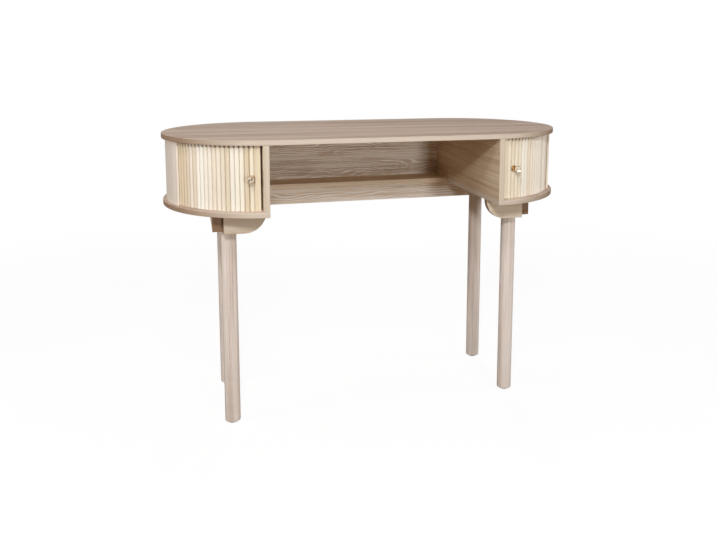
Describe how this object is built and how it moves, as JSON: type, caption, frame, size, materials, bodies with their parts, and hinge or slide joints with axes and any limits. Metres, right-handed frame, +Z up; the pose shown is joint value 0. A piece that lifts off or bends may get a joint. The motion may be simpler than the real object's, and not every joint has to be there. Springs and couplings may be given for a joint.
{
  "type": "tambour desk",
  "caption": "Long writing desk with half-round ends: sliding tambour doors close two end cabinets beside an open knee bay with a shelf, on round legs.",
  "frame": {"origin": "on the floor, at the middle of the desk's length and of its top's depth", "axes": "+X along the desk to the user's right, +Y to the rear, +Z up"},
  "size_m": [1.1, 0.5267, 0.76],
  "materials": {
    "board_wood": "matt oiled",
    "slat_wood": "matt oiled",
    "leg_wood": "matt oiled",
    "dowel_wood": "bare",
    "knob_brass": "antique",
    "knob_glass": "cut",
    "fastener_steel": "zinc plated",
    "backing_canvas": "woven",
    "glide_nylon": "moulded"
  },
  "bodies": {
    "carcass": {"back_panel": "board_wood", "bracket_screws": "fastener_steel", "centre_shelf": "board_wood", "front_left_bracket": "board_wood", "front_left_glide": "glide_nylon", "front_left_leg": "leg_wood", "front_right_bracket": "board_wood", "front_right_glide": "glide_nylon", "front_right_leg": "leg_wood", "left_bottom_board": "board_wood", "left_door_stop": "dowel_wood", "left_end_panel": "board_wood", "left_inner_side": "board_wood", "left_rail": "board_wood", "leg_bolts": "fastener_steel", "leg_screws": "fastener_steel", "panel_dowels": "dowel_wood", "rail_screws": "fastener_steel", "rear_left_glide": "glide_nylon", "rear_left_leg": "leg_wood", "rear_rail": "board_wood", "rear_right_glide": "glide_nylon", "rear_right_leg": "leg_wood", "right_bottom_board": "board_wood", "right_door_stop": "dowel_wood", "right_end_panel": "board_wood", "right_inner_side": "board_wood", "right_rail": "board_wood", "shelf_dowels": "dowel_wood", "shelf_screws": "fastener_steel", "side_screws": "fastener_steel", "top_board": "board_wood", "top_dowels": "dowel_wood"},
    "left_door": {"left_canvas": "backing_canvas", "left_knob": "knob_glass", "left_knob_collar": "knob_brass", "left_knob_screw": "fastener_steel", "left_lead_rail": "slat_wood", "left_slats": "slat_wood"},
    "right_door": {"right_canvas": "backing_canvas", "right_knob": "knob_glass", "right_knob_collar": "knob_brass", "right_knob_screw": "fastener_steel", "right_lead_rail": "slat_wood", "right_slats": "slat_wood"}
  },
  "joints": [
    {"name": "left_tambour", "type": "hinge", "parent": "carcass", "child": "left_door", "pos_m": [-0.29, 0, 0.66625], "axis": [0, 0, -1], "range_deg": [-0.8, 48]},
    {"name": "right_tambour", "type": "hinge", "parent": "carcass", "child": "right_door", "pos_m": [0.29, 0, 0.66625], "axis": [0, 0, 1], "range_deg": [0, 46]}
  ]
}
